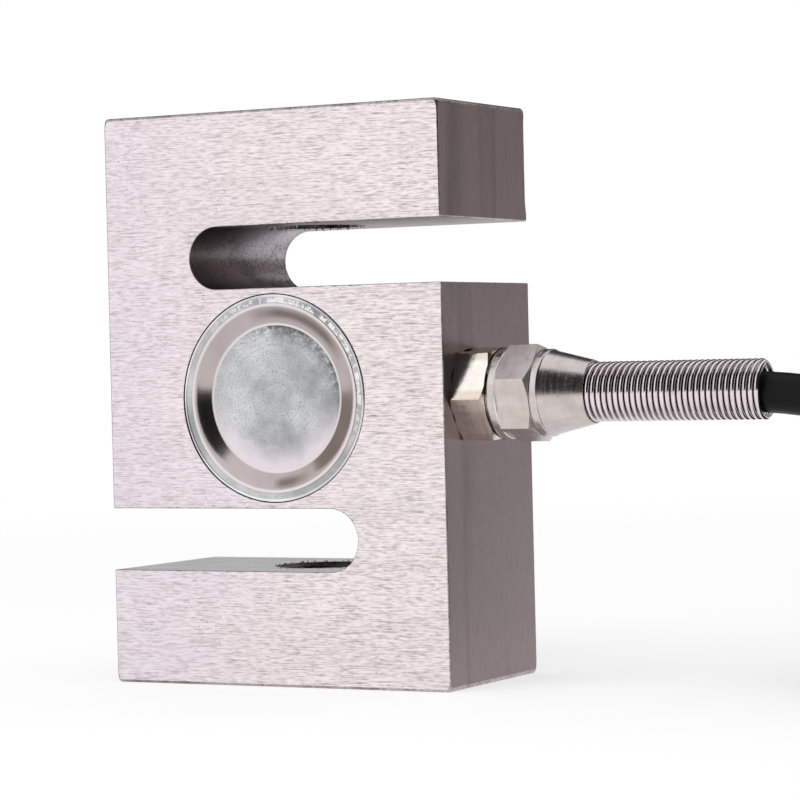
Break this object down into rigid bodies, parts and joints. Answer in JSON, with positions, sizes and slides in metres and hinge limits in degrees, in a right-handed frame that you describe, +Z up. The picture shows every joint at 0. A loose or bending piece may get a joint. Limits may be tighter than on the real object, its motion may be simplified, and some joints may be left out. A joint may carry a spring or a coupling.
{
  "type": "s type load cell",
  "caption": "S shaped steel force sensor block with opposed slots, a threaded hole in each arm, sealed gauge chamber, and a side cable gland with spring strain relief and free cable.",
  "frame": {"origin": "centre of the lower face, on the load axis, at the mouth of the lower threaded hole", "axes": "+Z up the load axis, +X along the wide face towards the cable, +Y from the front face to the rear"},
  "size_m": [0.168, 0.0791, 0.0762],
  "materials": {
    "beam_steel": "fine ground steel, satin",
    "cover_steel": "pressed sheet, satin with fine rings",
    "plated_brass": "bright nickel plate",
    "spring_steel": "bright drawn wire",
    "seal_rubber": "black nitrile rubber",
    "cable_jacket": "black jacket, semi-matte",
    "tie_plastic": "black nylon",
    "sleeve_plastic": "black shrunk sleeve",
    "core_red": "red insulation",
    "core_black": "black insulation",
    "core_green": "green insulation",
    "core_white": "white insulation",
    "tinned_copper": "tinned strands",
    "gauge_film": "amber film with foil",
    "board_laminate": "green laminate",
    "resistor_body": "lacquered ceramic"
  },
  "bodies": {
    "root": {"s_beam": "beam_steel", "front_cover": "cover_steel", "rear_cover": "cover_steel", "front_upper_gauge": "gauge_film", "front_lower_gauge": "gauge_film", "rear_upper_gauge": "gauge_film", "rear_lower_gauge": "gauge_film", "terminal_board": "board_laminate", "upper_trim_resistor": "resistor_body", "lower_trim_resistor": "resistor_body", "core_red": "core_red", "core_black": "core_black", "core_green": "core_green", "core_white": "core_white", "gland_ring": "seal_rubber", "gland_seal": "seal_rubber", "gland_body": "plated_brass", "compression_nut": "plated_brass", "thrust_washer": "plated_brass", "strain_relief_spring": "spring_steel", "cable_in_gland": "cable_jacket", "cable_lead": "cable_jacket", "cable_coil": "cable_jacket", "cable_tail": "cable_jacket", "coil_tie": "tie_plastic", "end_sleeve": "sleeve_plastic", "tail_core_red": "core_red", "tail_core_black": "core_black", "tail_core_green": "core_green", "tail_core_white": "core_white", "tail_core_tips": "tinned_copper"}
  },
  "joints": []
}
